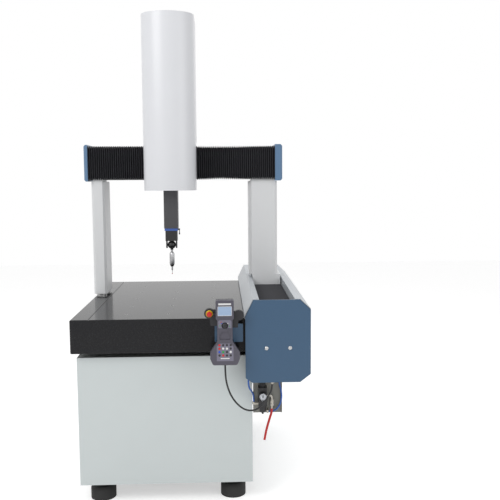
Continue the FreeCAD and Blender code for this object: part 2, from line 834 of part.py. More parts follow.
def make_column():
    notch_top = beam_top + pleat_depth + column_gap
    height = column_top - column_bottom
    outer = bowed_face(0, column_bottom, column_back).extrude(V(0, 0, height))
    inner = bowed_face(column_sheet, column_bottom + column_sheet, column_back + 1).extrude(
        V(0, 0, height - 2 * column_sheet))
    shell = outer.cut(inner)
    low_rear = block(beam_left, beam_right, column_low_back, column_back + 2,
                     column_bottom - 1, notch_top)
    shell = shell.cut(low_rear)
    mouth = mouth_size / 2
    shell = shell.cut(block(carriage_middle - mouth, carriage_middle + mouth, ram_y - mouth,
                            ram_y + mouth + ram_size, column_bottom - 1,
                            column_bottom + column_sheet + 1))
    save("z_cover_front", shell)

    x0 = carriage_middle - column_width / 2 + column_sheet + seat_gap
    x1 = carriage_middle + column_width / 2 - column_sheet - seat_gap
    top = column_top - column_sheet - seat_gap
    rear = block(x0, x1, column_back - column_sheet, column_back, notch_top, top)
    for x in (x0, x1 - column_sheet):
        rear = rear.fuse(block(x, x + column_sheet, column_back - panel_return,
                               column_back - column_sheet, notch_top, top))
    save("z_cover_back", rear.removeSplitter())

    # counterbalance cylinder: stands on the carriage's upper collar
    foot = (carriage_middle + cylinder_from_middle, cylinder_y, spine_top)
    floor = (foot[0], foot[1], spine_top + 2 * cylinder_wall)
    cylinder = rod(cylinder_radius, foot, (0, 0, 1), cylinder_length)
    cylinder = cylinder.cut(rod(cylinder_radius - cylinder_wall, floor, (0, 0, 1), cylinder_length))
    save("counterbalance_cylinder", cylinder)


# ---------------------------------------------------------------------------
# Ram, probe head, probe and stylus
# ---------------------------------------------------------------------------
def make_ram():
    x0, x1 = ram_left, ram_left + ram_size
    ram = block(x0, x1, ram_front, ram_back, ram_bottom, ram_bottom + ram_length)
    ram = rounded(ram, ram_corner, runs_along((0, 0, 1)))
    w = ram_wall
    ram = ram.cut(block(x0 + w, x1 - w, ram_front + w, ram_back - w,
                        ram_bottom + w, ram_bottom + ram_length))
    save("ram", ram)

    ring = block(x0 + 2, x1 - 2, ram_front + 2, ram_back - 2, ram_bottom - ring_height, ram_bottom)
    ring = rounded(ring, ram_corner, runs_along((0, 0, 1)))
    save("ram_ring", ring)

    top = ram_bottom - ring_height - head_top_gap
    half = head_width / 2
    head_low = ram_bottom - ring_height - head_height
    head = block(carriage_middle - half, carriage_middle + half, ram_y - half, ram_y + half,
                 head_low, top)
    head = rounded(head, 8, runs_along((0, 0, 1)))
    # two cheeks carry the tilting knuckle between them
    cheek = 7.0
    for x in (carriage_middle - knuckle_radius, carriage_middle + knuckle_radius - cheek):
        ear = rod(knuckle_radius * 0.62, (x, ram_y, knuckle_z), (1, 0, 0), cheek)
        ear = ear.fuse(block(x, x + cheek, ram_y - knuckle_radius * 0.62,
                             ram_y + knuckle_radius * 0.62, knuckle_z, head_low))
        ear = ear.cut(rod(5 + running_gap, (x, ram_y, knuckle_z), (1, 0, 0), cheek))
        head = head.fuse(ear)
    save("head_body", head.removeSplitter())

    ball_radius = min(knuckle_drop, knuckle_radius - cheek) - seat_gap
    ball = Part.makeSphere(ball_radius, V(carriage_middle, ram_y, knuckle_z))
    ball = ball.fuse(rod(5, (carriage_middle - knuckle_radius, ram_y, knuckle_z), (1, 0, 0),
                         2 * knuckle_radius))
    stem = rod(probe_radius * 0.6, (carriage_middle, ram_y, probe_top), (0, 0, 1),
               knuckle_z - probe_top)
    ball = ball.fuse(stem)
    save("head_knuckle", ball.removeSplitter())

    r = probe_radius
    low = probe_bottom
    profile = [(0, low), (r * 0.45, low), (r * 0.8, low + 8), (r, low + 14),
               (r, probe_top - 22), (r * 0.8, probe_top - 15), (r * 0.45, probe_top - 10),
               (r * 0.45, probe_top), (0, probe_top)]
    probe = lathe(profile, (carriage_middle, ram_y, 0), (0, 0, 1))
    pivot_z = low + stylus_pivot_rise
    neck, seat = stylus_neck_radius, stylus_neck_radius + running_gap
    mouth = lathe([(0, low), (seat + 2.4, low), (seat, pivot_z), (0, pivot_z)],
                  (carriage_middle, ram_y, 0), (0, 0, 1))
    socket = Part.makeSphere(seat, V(carriage_middle, ram_y, pivot_z))
    save("probe", probe.cut(mouth).cut(socket))

    tip = stylus_ball_radius
    holder_top = low - stylus_tilt_gap
    profile = [(0, stylus_tip + tip), (1.3, stylus_tip + tip), (1.5, stylus_tip + 20),
               (stylus_holder_radius, stylus_tip + 24), (stylus_holder_radius, holder_top),
               (neck, holder_top), (neck, pivot_z), (0, pivot_z)]
    shaft = lathe(profile, (carriage_middle, ram_y, 0), (0, 0, 1))
    shaft = shaft.fuse(Part.makeSphere(tip, V(carriage_middle, ram_y, stylus_tip + tip)))
    shaft = shaft.fuse(Part.makeSphere(neck, V(carriage_middle, ram_y, pivot_z)))
    save("stylus", shaft.removeSplitter())


# ---------------------------------------------------------------------------
# Pendant: moulded two-half housing on its hook, with stick, stop and dial
# ---------------------------------------------------------------------------
def rounded_wire(points, radii, level):
    """A closed (x, z) outline at one y, with a tangent arc at each corner."""
    count = len(points)
    edges = []
    ends = []
    for i in range(count):
        corner = V(points[i][0], level, points[i][1])
        before = V(points[i - 1][0], level, points[i - 1][1])
        after = V(points[(i + 1) % count][0], level, points[(i + 1) % count][1])
        u, w = (before - corner).normalize(), (after - corner).normalize()
        half = u.getAngle(w) / 2
        radius = radii[i] if isinstance(radii, (list, tuple)) else radii
        reach = radius / math.tan(half)
        start, end = corner + u * reach, corner + w * reach
        middle = corner + (u + w).normalize() * (radius / math.sin(half) - radius)
        edges.append(Part.Arc(start, middle, end).toShape())
        ends.append((start, end))
    for i in range(count):
        edges.append(Part.makeLine(ends[i][1], ends[(i + 1) % count][0]))
    return Part.Wire(Part.__sortEdges__(edges))


def rounded_plate(points, radii, y0, y1):
    """A plate with rounded corners between two y levels."""
    return Part.Face(rounded_wire(points, radii, y0)).extrude(V(0, y1 - y0, 0))


def pendant_point(across, down):
    """A place on the pendant's face, from its centre line and its top."""
    return (pendant_x + across, pendant_top - down)


def pendant_body(inset, y0, y1):
    """Head, neck and flared keypad end, drawn in by an inset."""
    head, neck, flare = (pendant_head_half - inset, pendant_neck_half - inset,
                         pendant_flare_half - inset)
    foot = pendant_foot_half - inset
    right = [(head, inset), (head, pendant_head_height - inset), (neck, pendant_head_height + 6),
             (neck, pendant_flare_top - 6), (flare, pendant_flare_low),
             (flare, pendant_flare_end), (foot, pendant_height - inset)]
    corner = [6, 5, 8, 14, 16, 16, 12]
    outline = [pendant_point(*p) for p in right]
    outline += [pendant_point(-p[0], p[1]) for p in right[::-1]]
    return rounded_plate(outline, corner + corner[::-1], y0, y1)


def face_plate(size, drop, grow, bevel, y0, y1):
    """A rectangle on the pendant's face, its top corners cut by a bevel."""
    half, height = size[0] / 2 + grow, size[1] + grow
    top = drop - grow
    points = [(-half, drop + height), (half, drop + height), (half, top + bevel + 2),
              (half - bevel - 1, top), (-half + bevel + 1, top), (-half, top + bevel + 2)]
    return rounded_plate([pendant_point(*p) for p in points], 1.0, y0, y1)


def make_pendant():
    face = pendant_face
    split = face + pendant_front_depth
    back = face + pendant_depth
    wall = pendant_wall
    front = pendant_body(0, face, split)
    rim = [e for e in front.Edges if abs(e.BoundBox.YMin - face) < 1e-6
           and abs(e.BoundBox.YMax - face) < 1e-6]
    front = front.makeChamfer(1.6, rim)
    front = front.cut(pendant_body(wall, face + 2 * wall, split))
    pivot = V(pendant_x, face + stick_pivot_depth, pendant_top - stick_drop)
    opening = rod(stick_skirt_radius - 1, (pivot.x, face, pivot.z), (0, 1, 0), 2 * wall)
    seats = ((screen_size, screen_drop, 1), (stick_panel_size, stick_panel_drop, 4),
             (keypad_size, keypad_drop, keypad_bevel))
    for size, drop, bevel in seats:
        front = front.cut(face_plate(size, drop, bond_gap, bevel, face, face + membrane))
    front = front.cut(opening)
    front = front.cut(face_plate(neck_pocket, neck_pocket_drop, 0, 10, face,
                                 face + neck_pocket_depth))
    ball_room = Part.makeSphere(stick_skirt_radius + 1, pivot)
    front = front.cut(ball_room)
    save("pendant_front", front)
    save("pendant_screen", face_plate(screen_size, screen_drop, 0, 1, face + bond_gap,
                                      face + membrane - bond_gap))
    keypad = face_plate(keypad_size, keypad_drop, 0, keypad_bevel, face + bond_gap,
                        face + membrane - bond_gap)
    stick_panel = face_plate(stick_panel_size, stick_panel_drop, 0, 4, face + bond_gap,
                             face + membrane - bond_gap)
    stick_panel = stick_panel.cut(rod(stick_skirt_radius, (pivot.x, face, pivot.z), (0, 1, 0),
                                      membrane)).cut(ball_room)
    save("pendant_keypad", keypad, stick_panel)

    rear = pendant_body(0, split + bond_gap, back)
    rim = [e for e in rear.Edges if abs(e.BoundBox.YMin - back) < 1e-6]
    rear = rear.makeChamfer(3.0, rim)
    lobes = []
    for (across, down), side in ((left_lobe, -1), (right_lobe, 1)):
        x, z = pendant_point(across, down)
        lobe = rod(lobe_radius, (x, split + bond_gap, z), (0, 1, 0), pendant_depth / 2 - 4)
        inner = side * (pendant_neck_half - wall)
        tail = [(pendant_x + inner, z + lobe_radius * 0.8), (x, z + lobe_radius * 0.8),
                (x, z), (x - side * 4, z - lobe_tail), (pendant_x + inner, z - lobe_tail)]
        arm = rounded_plate(tail, 4.0, split + bond_gap, back - 4)
        lobes.append(lobe.fuse(arm))
    for lobe in lobes:
        rear = rear.fuse(lobe)
    rear = rear.cut(pendant_body(wall, split, back - wall))
    hole = rod(estop_stem + running_gap, (pendant_x + left_lobe[0], split,
                                          pendant_top - left_lobe[1]), (0, 1, 0),
               pendant_depth / 2 - 7)
    rear = rear.cut(hole)
    dial_x = pendant_x - pendant_head_half - dial_radius - 1
    dial_z = pendant_top - left_lobe[1]
    rear = rear.cut(rod(2 + running_gap, (dial_x, split, dial_z), (0, 1, 0), 10))
    for side in (-1, 1):
        x0, x1 = sorted((pivot.x + side * (gimbal_reach - 3), pivot.x + side * gimbal_reach))
        h = gimbal_post / 2
        post = block(x0, x1, pivot.y - h, back - wall, pivot.z - h, pivot.z + h)
        rear = rear.fuse(post.cut(rod(gimbal_pin_radius + running_gap, (x0, pivot.y, pivot.z),
                                      (1, 0, 0), 3)))
    # hanger loop on the back, over the bracket's upturned hook
    hook_z = pendant_top - hook_drop
    hook_back = bracket_face - 3 * hook_sheet
    hanger = block(pendant_x - hook_width / 2 - 8, pendant_x + hook_width / 2 + 8, back,
                   hook_back + 2 * hook_sheet - 2, hook_z - hook_rise + hook_sheet, hook_z + 5)
    slot = block(pendant_x - hook_width / 2 - 1, pendant_x + hook_width / 2 + 1,
                 hook_back - hook_sheet - 0.6, hook_back + 0.6,
                 hook_z - hook_rise, hook_z + seat_gap)
    rear = rear.fuse(hanger).cut(slot)
    gland = lathe([(0, 0), (5.5, 0), (8, 10), (8, 14), (0, 14)],
                  (pendant_x, (split + back) / 2 - 1, pendant_top - pendant_height - 9), (0, 0, 1))
    rear = rear.fuse(gland)
    save("pendant_back", rear.removeSplitter())

    hook = block(pendant_x - hook_width / 2, pendant_x + hook_width / 2,
                 hook_back - hook_sheet, hook_back, hook_z - hook_rise, hook_z)
    tongue = block(pendant_x - hook_width / 2, pendant_x + hook_width / 2,
                   hook_back - hook_sheet, bracket_face + hook_sheet,
                   hook_z - hook_rise - hook_sheet, hook_z - hook_rise)
    outline = [(bracket_right - bracket_size[0], bracket_low), (bracket_right, bracket_low),
               (bracket_right, bracket_low + bracket_size[1]),
               (bracket_right - bracket_size[0], bracket_low + bracket_size[1])]
    bracket = rounded_plate(outline, 4.0, bracket_face, bracket_face + hook_sheet)
    bracket = bracket.fuse(hook).fuse(tongue)
    for across in (0.2, 0.8):
        x = bracket_right - bracket_size[0] * across
        bracket = bracket.fuse(rod(standoff_radius, (x, bracket_face + hook_sheet,
                                                     bracket_low + bracket_size[1] / 2),
                                   (0, 1, 0), table_front - bracket_face - hook_sheet))
    save("pendant_bracket", bracket.removeSplitter())

    # joystick on its gimbal
    c = gimbal_cube / 2
    gimbal = block(pivot.x - c, pivot.x + c, pivot.y - c, pivot.y + c, pivot.z - c, pivot.z + c)
    gimbal = gimbal.fuse(rod(gimbal_pin_radius, (pivot.x - gimbal_reach, pivot.y, pivot.z),
                             (1, 0, 0), 2 * gimbal_reach))
    gimbal = gimbal.fuse(rod(gimbal_pin_radius, (pivot.x, pivot.y, pivot.z - 8), (0, 0, 1), 16))
    save("joystick_gimbal", gimbal.removeSplitter())
    r, w = stick_skirt_radius, stick_skirt_wall
    skirt = Part.makeSphere(r, pivot).cut(Part.makeSphere(r - w, pivot))
    skirt = skirt.common(block(pivot.x - r, pivot.x + r, pivot.y - r, pivot.y - 2,
                               pivot.z - r, pivot.z + r))
    reach = stick_pivot_depth + stick_tip_reach
    grip = lathe([(0, r - w / 2), (5, r - w / 2), (4, reach - 14), (7.5, reach - 9), (8, reach - 3),
                  (6, reach), (0, reach)], (pivot.x, pivot.y, pivot.z), (0, -1, 0))
    stick = skirt.fuse(grip)
    for side in (-1, 1):
        z0, z1 = sorted((pivot.z + side * 5, pivot.z + side * 8))
        ear = block(pivot.x - 4, pivot.x + 4, pivot.y - r + w + 2, pivot.y + 4, z0, z1)
        ear = ear.cut(rod(gimbal_pin_radius + running_gap, (pivot.x, pivot.y, z0), (0, 0, 1), 3))
        ear = ear.fuse(block(pivot.x - 4, pivot.x + 4, pivot.y - r + w / 2, pivot.y - r + w + 2,
                             min(pivot.z, z0), max(pivot.z, z1)).common(Part.makeSphere(r, pivot)))
        stick = stick.fuse(ear)
    save("joystick", stick.removeSplitter())

    # emergency stop with its collar, and the speed dial beside it
    x, z = pendant_point(*left_lobe)
    collar = lathe([(estop_stem + running_gap, 0), (estop_collar_radius, 0),
                    (estop_collar_radius, estop_collar_height * 0.6),
                    (estop_collar_radius - 2, estop_collar_height),
                    (estop_stem + running_gap, estop_collar_height)], (x, split, z), (0, -1, 0))
    save("estop_collar", collar)
    low = estop_collar_height + estop_travel + 1
    cap = lathe([(0, -4), (estop_stem, -4), (estop_stem, low), (estop_radius * 0.9, low),
                 (estop_radius, low + 2.5), (estop_radius, low + 6), (estop_radius * 0.8, low + 9),
                 (estop_radius * 0.4, low + 10.5), (0, low + 11)], (x, split, z), (0, -1, 0))
    save("estop_button", cap)
    dial = lathe([(0, -8), (2, -8), (2, 0.5), (dial_radius, 0.5),
                  (dial_radius * 0.85, dial_height - 1), (dial_radius * 0.7, dial_height),
                  (0, dial_height)], (dial_x, split, dial_z), (0, -1, 0))
    save("speed_dial", dial)


# ---------------------------------------------------------------------------
# Air unit: panel, regulator with knob and gauge, filter bowl and fittings
# ---------------------------------------------------------------------------
def make_air_unit():
    x0, x1 = air_panel_left, air_panel_left + air_panel_width
    top = cover_bottom - seat_gap
    y0, y1 = air_panel_face, air_panel_face + air_panel_sheet
    section = [(y0, air_panel_bottom), (y1, air_panel_bottom), (y1, top - air_panel_sheet),
               (y0 + air_panel_flange, top - air_panel_sheet), (y0 + air_panel_flange, top),
               (y0, top)]
    panel = along_x(section, x0, x1)
    panel = panel.fuse(block(x1 - air_panel_sheet, x1, y0 - air_panel_rib, y0,
                             air_panel_bottom, top - air_panel_sheet))
    save("air_panel", panel.removeSplitter())

    half = block_width / 2
    back = air_panel_face
    front = back - block_depth
    block_top = block_bottom + block_height
    axis_y = (front + back) / 2
    body = block(block_middle - half, block_middle + half, front, back, block_bottom, block_top)
    body = rounded(body, 5.0, runs_along((0, 0, 1)))
    body = body.cut(rod(4 + running_gap, (block_middle, axis_y, block_top - 12), (0, 0, 1), 12))
    body = body.cut(rod(3 + running_gap, (block_middle, front, gauge_height), (0, 1, 0), 8))
    save("air_regulator", body)

    rise = seat_gap
    knob = lathe([(0, -10), (4, -10), (4, rise), (air_knob_radius, rise),
                  (air_knob_radius, air_knob_height - 5), (air_knob_radius - 3, air_knob_height),
                  (0, air_knob_height)], (block_middle, axis_y, block_top), (0, 0, 1))
    for i in range(12):
        turn = math.radians(30 * i)
        knob = knob.cut(rod(1.6, (block_middle + air_knob_radius * math.cos(turn),
                                  axis_y + air_knob_radius * math.sin(turn), block_top + 4),
                            (0, 0, 1), air_knob_height))
    save("regulator_knob", knob)

    bowl = lathe([(0, -bowl_height), (bowl_radius * 0.3, -bowl_height),
                  (bowl_radius * 0.35, -bowl_height + 6), (bowl_radius * 0.85, -bowl_height + 9),
                  (bowl_radius, -bowl_height + 16), (bowl_radius, -10), (bowl_radius + 2, -10),
                  (bowl_radius + 2, 0), (0, 0)], (block_middle, axis_y, block_bottom), (0, 0, 1))
    save("filter_bowl", bowl)

    r, d = gauge_radius, gauge_depth
    case = lathe([(0, -8), (3, -8), (3, 0), (r * 0.7, 0), (r, 4), (r, d), (r - gauge_rim, d),
                  (r - gauge_rim, d - 10), (0.8 + running_gap, d - 10), (0.8 + running_gap, d - 14),
                  (0, d - 14)], (block_middle, front, gauge_height), (0, -1, 0))
    save("pressure_gauge", case)
    save("gauge_lens", rod(r - gauge_rim - bond_gap, (block_middle, front - d + 1, gauge_height),
                           (0, 1, 0), 2))
    needle_y = front - d + 6
    needle = rod(2.2, (block_middle, needle_y, gauge_height), (0, 1, 0), 1.4)
    needle = needle.fuse(rod(0.8, (block_middle, needle_y, gauge_height), (0, 1, 0), 6))
    tip = rounded_plate([(block_middle - 1.2, gauge_height - 5), (block_middle + 1.2, gauge_height - 5),
                         (block_middle + 0.5, gauge_height + r - 6),
                         (block_middle - 0.5, gauge_height + r - 6)], 0.2, needle_y, needle_y + 0.8)
    save("gauge_needle", needle.fuse(tip).removeSplitter())

    # elbow, quick coupler and hose tail; push-in fittings for the blue hoses; cable gland
    bend = 12.0
    run = coupler_x - bend - block_middle - half
    pipe = rod(6, (block_middle + half, coupler_y, gauge_height), (1, 0, 0), run)
    elbow = Part.Face(Part.Wire(Part.makeCircle(6, V(coupler_x - bend, coupler_y, gauge_height),
                                                V(1, 0, 0))))
    elbow = elbow.revolve(V(coupler_x - bend, coupler_y, gauge_height - bend), V(0, 1, 0), 90)
    pipe = pipe.fuse(elbow)
    pipe = pipe.fuse(rod(6, (coupler_x, coupler_y, gauge_height - 18), (0, 0, 1), 18 - bend))
    barrel = lathe([(0, 0), (coupler_radius * 0.8, 0), (coupler_radius, 3), (coupler_radius, 12),
                    (coupler_radius * 0.88, 14), (coupler_radius, 16), (coupler_radius, 30),
                    (coupler_radius * 0.8, 33), (0, 33)],
                   (coupler_x, coupler_y, gauge_height - 18 - 33), (0, 0, 1))
    tail_z = route_point(red_hose_path[0]).z
    tail = rod(5, (coupler_x, coupler_y, tail_z), (0, 0, 1), gauge_height - 51 - tail_z)
    pieces = [pipe, barrel, tail]
    radius = blue_hose_diameter / 2 + 2.5
    first, last = route_point(blue_left_path[0]), route_point(blue_left_path[-1])
    holder = block(first.x - 9, first.x + 9, plate_front_in, first.y + 7, first.z + 8, first.z + 20)
    pieces.append(rod(radius, first, (0, 0, 1), 14).fuse(holder))
    bend = last - V(0, 0, radius + 2)
    elbow = rod(radius, last, (0, 0, -1), radius + 2).fuse(Part.makeSphere(radius, bend))
    pieces.append(elbow.fuse(rod(radius, bend, (1, 0, 0), block_middle - half - bend.x)))
    first, last = route_point(blue_right_path[0]), route_point(blue_right_path[-1])
    pieces.append(rod(radius, first, (0, 0, 1), cover_bottom - first.z))
    pieces.append(block(last.x - 8, last.x, last.y - 7, air_panel_face, last.z - 7, last.z + 7))
    end = route_point(pendant_cable_path[-1])
    gland = lathe([(0, 0), (6, 0), (9, 8), (9, cover_bottom - end.z), (0, cover_bottom - end.z)],
                  end, (0, 0, 1))
    pieces.append(gland)
    save("hose_fittings", *pieces)


# ---------------------------------------------------------------------------
# Cords: straight runs joined by tangent arcs, through hand-chosen points
# ---------------------------------------------------------------------------
def route_point(offset):
    """The place of one point of a cord's route."""
    return route_start + V(*offset)


def cord(name, path, diameter):
    """A tube along straight runs with the largest tangent arcs they allow."""
    points = [route_point(p) for p in path]
    edges = []
    radii = []
    start = points[0]
    for i in range(1, len(points) - 1):
        back, ahead = points[i - 1] - points[i], points[i + 1] - points[i]
        shorter = min(back.Length, ahead.Length)
        u, w = V(back).normalize(), V(ahead).normalize()
        half = u.getAngle(w) / 2
        reach = 0.45 * shorter
        radius = reach * math.tan(half)
        radii.append(round(radius))
        a, b = points[i] + u * reach, points[i] + w * reach
        middle = points[i] + (u + w).normalize() * (radius / math.sin(half) - radius)
        edges.append(Part.LineSegment(start, a).toShape())
        edges.append(Part.Arc(a, middle, b).toShape())
        start = b
    edges.append(Part.LineSegment(start, points[-1]).toShape())
    wire = Part.Wire(edges)
    section = Part.Wire(Part.makeCircle(diameter / 2, points[0], points[1] - points[0]))
    tube = wire.makePipeShell([section], True, False)
    share = tube.Volume / (math.pi * diameter ** 2 / 4 * wire.Length)
    print(name, "length", round(wire.Length), "radii", radii, "volume ratio", round(share, 3))
    save(name, tube)


def make_cords():
    cord("pendant_cable", pendant_cable_path, pendant_cable_diameter)
    cord("red_hose", red_hose_path, red_hose_diameter)
    cord("blue_hose_left", blue_left_path, blue_hose_diameter)
    cord("blue_hose_right", blue_right_path, blue_hose_diameter)


make_stand()
make_table()
make_guide()
make_y_bellows()
make_x_bellows()
make_bridge()
make_drives()
make_carriage()
make_column()
make_ram()
make_pendant()
make_air_unit()
make_cords()
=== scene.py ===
import math
import bmesh
import bpy
import numpy as np
from mathutils import Matrix, Vector


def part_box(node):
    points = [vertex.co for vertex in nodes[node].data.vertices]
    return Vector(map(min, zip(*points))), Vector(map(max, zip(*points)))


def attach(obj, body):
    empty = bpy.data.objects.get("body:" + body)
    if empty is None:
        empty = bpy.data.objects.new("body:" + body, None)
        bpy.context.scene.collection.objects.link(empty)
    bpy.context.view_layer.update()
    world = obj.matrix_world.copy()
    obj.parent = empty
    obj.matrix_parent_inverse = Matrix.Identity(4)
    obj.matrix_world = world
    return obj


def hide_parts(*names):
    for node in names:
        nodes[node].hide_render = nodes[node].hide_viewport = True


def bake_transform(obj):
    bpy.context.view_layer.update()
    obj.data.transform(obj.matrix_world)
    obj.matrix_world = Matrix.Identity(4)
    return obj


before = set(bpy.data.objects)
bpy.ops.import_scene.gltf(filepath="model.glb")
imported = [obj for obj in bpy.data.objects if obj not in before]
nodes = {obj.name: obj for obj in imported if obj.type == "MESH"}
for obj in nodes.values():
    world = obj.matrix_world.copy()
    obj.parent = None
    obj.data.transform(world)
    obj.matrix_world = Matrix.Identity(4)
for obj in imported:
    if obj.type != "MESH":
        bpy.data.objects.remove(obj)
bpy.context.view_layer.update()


# ---------------------------------------------------------------------------
# Stand: a welded tube frame on four rubber-soled levelling feet, closed by
# four powder-coated sheet panels that hang on it.
# ---------------------------------------------------------------------------
def new_group(name, inputs, outputs):
    """An empty shader node group with named inputs (name, kind, value) and outputs."""
    group = bpy.data.node_groups.new(name, "ShaderNodeTree")
    kinds = {"value": "NodeSocketFloat", "colour": "NodeSocketColor"}
    for title, kind, value in inputs:
        socket = group.interface.new_socket(title, in_out="INPUT", socket_type=kinds[kind])
        socket.default_value = value
    for title, kind in outputs:
        group.interface.new_socket(title, in_out="OUTPUT", socket_type=kinds[kind])
    return group, group.nodes.new("NodeGroupInput"), group.nodes.new("NodeGroupOutput")


def paint_film_group():
    """Orange peel and faint handling marks of a powder-coated or moulded skin."""
    group, start, end = new_group(
        "paint film",
        [("Colour", "colour", (1, 1, 1, 1)), ("Grain Size", "value", 900.0),
         ("Roughness", "value", 0.4), ("Marks", "value", 0.08)],
        [("Colour", "colour"), ("Roughness", "value"), ("Height", "value")])
    make, join = group.nodes.new, group.links.new
    place = make("ShaderNodeTexCoord")
    peel = make("ShaderNodeTexNoise")
    marks = make("ShaderNodeTexNoise")
    marks.inputs["Scale"].default_value = 7.0
    marks.inputs["Detail"].default_value = 8.0
    join(place.outputs["Object"], peel.inputs["Vector"])
    join(place.outputs["Object"], marks.inputs["Vector"])
    join(start.outputs["Grain Size"], peel.inputs["Scale"])
    centred = make("ShaderNodeMath")
    centred.operation = "SUBTRACT"
    centred.inputs[1].default_value = 0.5
    join(marks.outputs["Fac"], centred.inputs[0])
    amount = make("ShaderNodeMath")
    amount.operation = "MULTIPLY"
    join(centred.outputs[0], amount.inputs[0])
    join(start.outputs["Marks"], amount.inputs[1])
    rough = make("ShaderNodeMath")
    rough.operation = "ADD"
    join(start.outputs["Roughness"], rough.inputs[0])
    join(amount.outputs[0], rough.inputs[1])
    light = make("ShaderNodeMath")
    light.operation = "ADD"
    light.inputs[1].default_value = 1.0
    join(amount.outputs[0], light.inputs[0])
    shade = make("ShaderNodeVectorMath")
    shade.operation = "SCALE"
    join(start.outputs["Colour"], shade.inputs[0])
    join(light.outputs[0], shade.inputs["Scale"])
    join(shade.outputs[0], end.inputs["Colour"])
    join(rough.outputs[0], end.inputs["Roughness"])
    join(peel.outputs["Fac"], end.inputs["Height"])
    return group


paint_film = paint_film_group()


def new_material(name):
    """A material with its Principled shader, and its node maker and joiner."""
    material = bpy.data.materials.new(name)
    material.use_nodes = True
    tree = material.node_tree
    return material, tree.nodes["Principled BSDF"], tree.nodes.new, tree.links.new


def coated(name, colour, roughness=0.4, marks=0.06, grain=900.0, relief=0.00002, metallic=0.0):
    """A skin whose colour, gloss and fine relief come from the paint film group."""
    material, shader, make, join = new_material(name)
    film = make("ShaderNodeGroup")
    film.node_tree = paint_film
    film.inputs["Colour"].default_value = (*colour, 1)
    film.inputs["Roughness"].default_value = roughness
    film.inputs["Marks"].default_value = marks
    film.inputs["Grain Size"].default_value = grain
    relief_node = make("ShaderNodeBump")
    relief_node.inputs["Distance"].default_value = relief
    relief_node.inputs["Strength"].default_value = 0.6
    join(film.outputs["Colour"], shader.inputs["Base Color"])
    join(film.outputs["Roughness"], shader.inputs["Roughness"])
    join(film.outputs["Height"], relief_node.inputs["Height"])
    join(relief_node.outputs["Normal"], shader.inputs["Normal"])
    shader.inputs["Metallic"].default_value = metallic
    return material


def dress(material, *names):
    """Gives the named CAD nodes a finish."""
    for name in names:
        nodes[name].data.materials.clear()
        nodes[name].data.materials.append(material)


def smooth(angle, *names):
    """Shades the named nodes smooth up to an angle in degrees, with a weld so curves read round."""
    for name in names:
        obj = nodes[name]
        weld = obj.modifiers.new("weld", "WELD")
        weld.merge_threshold = 0.00001
        obj.data.polygons.foreach_set("use_smooth", [True] * len(obj.data.polygons))
        split = obj.modifiers.new("sharp edges", "EDGE_SPLIT")
        split.split_angle = math.radians(angle)


dress(coated("stand frame paint", (0.50, 0.53, 0.52), 0.5), "stand_frame")
dress(coated("skirt panel paint", (0.66, 0.71, 0.71), 0.38, 0.05), "skirt_panels")
dress(coated("foot rubber", (0.02, 0.02, 0.02), 0.75, 0.2, 400.0, 0.0001), "levelling_feet")
dress(coated("bearing steel", (0.5, 0.5, 0.5), 0.3, 0.15, 300.0, 0.00002, 1.0),
      "table_supports", "y_drive_bar", "bridge_air_pads", "x_roller", "y_roller", "cover_screws",
      "joystick_gimbal")
smooth(35, "levelling_feet", "table_supports", "bridge_air_pads", "x_roller", "y_roller",
       "cover_screws")


# ---------------------------------------------------------------------------
# Granite table: a lapped block of black granite with fine grey and pale
# crystals, and threaded steel inserts bonded flush with its top.
# ---------------------------------------------------------------------------
def granite():
    """Dark stone: cell noise picks the pale crystals, a finer one the grey ones."""
    material, shader, make, join = new_material("black granite")
    place = make("ShaderNodeTexCoord")
    crystals = make("ShaderNodeTexVoronoi")
    crystals.inputs["Scale"].default_value = 420.0
    cloud = make("ShaderNodeTexNoise")
    cloud.inputs["Scale"].default_value = 160.0
    cloud.inputs["Detail"].default_value = 6.0
    join(place.outputs["Object"], crystals.inputs["Vector"])
    join(place.outputs["Object"], cloud.inputs["Vector"])
    pick = make("ShaderNodeValToRGB")
    pick.color_ramp.elements[0].position = 0.0
    pick.color_ramp.elements[0].color = (0.008, 0.008, 0.009, 1)
    pick.color_ramp.elements[1].position = 1.0
    pick.color_ramp.elements[1].color = (0.05, 0.05, 0.053, 1)
    middle = pick.color_ramp.elements.new(0.72)
    middle.color = (0.016, 0.016, 0.018, 1)
    join(crystals.outputs["Color"], pick.inputs["Fac"])
    tint = make("ShaderNodeMix")
    tint.data_type = "RGBA"
    tint.inputs["B"].default_value = (0.03, 0.03, 0.032, 1)
    join(cloud.outputs["Fac"], tint.inputs["Factor"])
    join(pick.outputs["Color"], tint.inputs["A"])
    join(tint.outputs["Result"], shader.inputs["Base Color"])
    gloss = make("ShaderNodeMapRange")
    gloss.inputs["To Min"].default_value = 0.10
    gloss.inputs["To Max"].default_value = 0.18
    join(cloud.outputs["Fac"], gloss.inputs["Value"])
    join(gloss.outputs["Result"], shader.inputs["Roughness"])
    shader.inputs["Specular IOR Level"].default_value = 0.12
    return material


dress(granite(), "granite_table")
dress(coated("insert steel", (0.35, 0.35, 0.35), 0.35, 0.2, 500.0, 0.00002, 1.0), "table_inserts")
smooth(35, "table_inserts")


